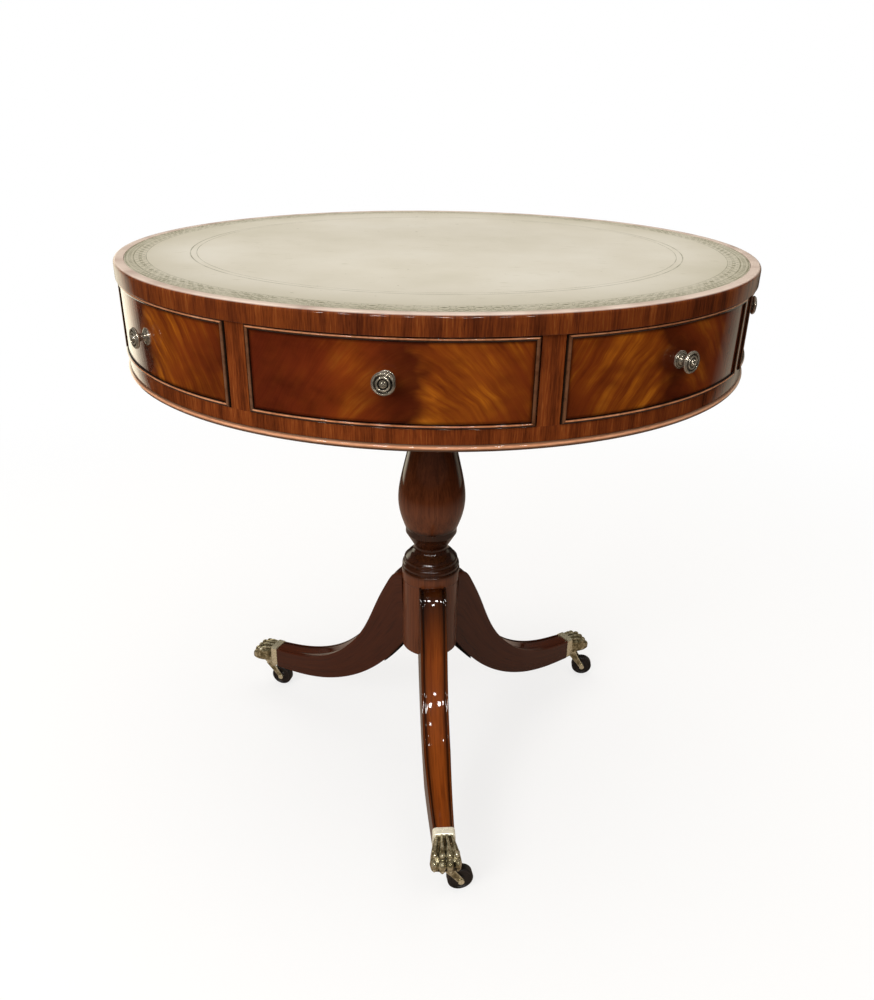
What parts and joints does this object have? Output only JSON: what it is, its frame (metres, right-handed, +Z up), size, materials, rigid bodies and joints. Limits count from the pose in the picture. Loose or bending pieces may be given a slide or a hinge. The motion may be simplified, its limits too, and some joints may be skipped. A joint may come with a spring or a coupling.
{
  "type": "revolving drum table",
  "caption": "Round drum table whose leather-lined top turns on a turned pillar; curved frieze drawers and false fronts, swept legs with brass lion-paw caps and casters.",
  "frame": {"origin": "on the floor, on the axis of the pillar and drum", "axes": "+Z up along the pillar, -Y out of the front drawer, +X out of the right drawer"},
  "size_m": [0.787, 0.787, 0.76],
  "materials": {
    "mahogany": "french polished, glossy",
    "flame_veneer": "flame figured veneer, polished",
    "cockbead_wood": "polished",
    "oak": "plain",
    "leather": "aged, blind tooled",
    "brass": "aged cast brass",
    "steel": "turned",
    "iron": "black",
    "wheel_composite": "dark, worn"
  },
  "bodies": {
    "pedestal": {"pillar": "mahogany", "bearing_block": "mahogany", "thrust_ring": "brass", "spindle": "steel", "spindle_washer": "steel", "spindle_nut": "steel", "front_leg": "mahogany", "right_leg": "mahogany", "left_leg": "mahogany", "front_paw": "brass", "right_paw": "brass", "left_paw": "brass", "tripod_strap": "iron", "strap_screws": "iron"},
    "drum": {"top_board": "oak", "top_lipping": "mahogany", "leather_top": "leather", "lower_rail": "mahogany", "base_bead": "mahogany", "baseboard": "oak", "pivot_bush": "brass", "frieze_stiles": "mahogany", "divider_boards": "oak", "false_faces": "flame_veneer", "false_cockbeads": "cockbead_wood", "false_roses": "brass", "false_knobs": "brass"},
    "front_drawer": {"front_drawer_face": "flame_veneer", "front_drawer_cockbead": "cockbead_wood", "front_drawer_box": "oak", "front_drawer_bottom": "oak", "front_drawer_rose": "brass", "front_drawer_knob": "brass"},
    "right_drawer": {"right_drawer_face": "flame_veneer", "right_drawer_cockbead": "cockbead_wood", "right_drawer_box": "oak", "right_drawer_bottom": "oak", "right_drawer_rose": "brass", "right_drawer_knob": "brass"},
    "back_drawer": {"back_drawer_face": "flame_veneer", "back_drawer_cockbead": "cockbead_wood", "back_drawer_box": "oak", "back_drawer_bottom": "oak", "back_drawer_rose": "brass", "back_drawer_knob": "brass"},
    "left_drawer": {"left_drawer_face": "flame_veneer", "left_drawer_cockbead": "cockbead_wood", "left_drawer_box": "oak", "left_drawer_bottom": "oak", "left_drawer_rose": "brass", "left_drawer_knob": "brass"},
    "front_caster": {"front_caster_horn": "brass", "front_caster_axle": "steel"},
    "front_wheel": {"front_caster_wheel": "wheel_composite"},
    "right_caster": {"right_caster_horn": "brass", "right_caster_axle": "steel"},
    "right_wheel": {"right_caster_wheel": "wheel_composite"},
    "left_caster": {"left_caster_horn": "brass", "left_caster_axle": "steel"},
    "left_wheel": {"left_caster_wheel": "wheel_composite"}
  },
  "joints": [
    {"name": "drum_turn", "type": "hinge", "parent": "pedestal", "child": "drum", "pos_m": [0, 0, 0.65], "axis": [0, 0, 1], "continuous": true},
    {"name": "front_drawer_slide", "type": "slide", "parent": "drum", "child": "front_drawer", "axis": [0, -1, 0], "range_m": [0, 0.165]},
    {"name": "right_drawer_slide", "type": "slide", "parent": "drum", "child": "right_drawer", "axis": [1, 0, 0], "range_m": [0, 0.165]},
    {"name": "back_drawer_slide", "type": "slide", "parent": "drum", "child": "back_drawer", "axis": [0, 1, 0], "range_m": [0, 0.165]},
    {"name": "left_drawer_slide", "type": "slide", "parent": "drum", "child": "left_drawer", "axis": [-1, 0, 0], "range_m": [0, 0.165]},
    {"name": "front_caster_swivel", "type": "hinge", "parent": "pedestal", "child": "front_caster", "pos_m": [0.05758, -0.29901, 0.053], "axis": [0, 0, 1], "continuous": true},
    {"name": "front_wheel_roll", "type": "hinge", "parent": "front_caster", "child": "front_wheel", "pos_m": [0.07708, -0.29267, 0.017], "axis": [-0.309, 0.9511, 0], "continuous": true},
    {"name": "right_caster_swivel", "type": "hinge", "parent": "pedestal", "child": "right_caster", "pos_m": [0.23016, 0.19937, 0.053], "axis": [0, 0, 1], "continuous": true},
    {"name": "right_wheel_roll", "type": "hinge", "parent": "right_caster", "child": "right_wheel", "pos_m": [0.25065, 0.20008, 0.017], "axis": [-0.0349, 0.9994, 0], "continuous": true},
    {"name": "left_caster_swivel", "type": "hinge", "parent": "pedestal", "child": "left_caster", "pos_m": [-0.28774, 0.09964, 0.053], "axis": [0, 0, 1], "continuous": true},
    {"name": "left_wheel_roll", "type": "hinge", "parent": "left_caster", "child": "left_wheel", "pos_m": [-0.26744, 0.09678, 0.017], "axis": [0.1392, 0.9903, 0], "continuous": true}
  ]
}
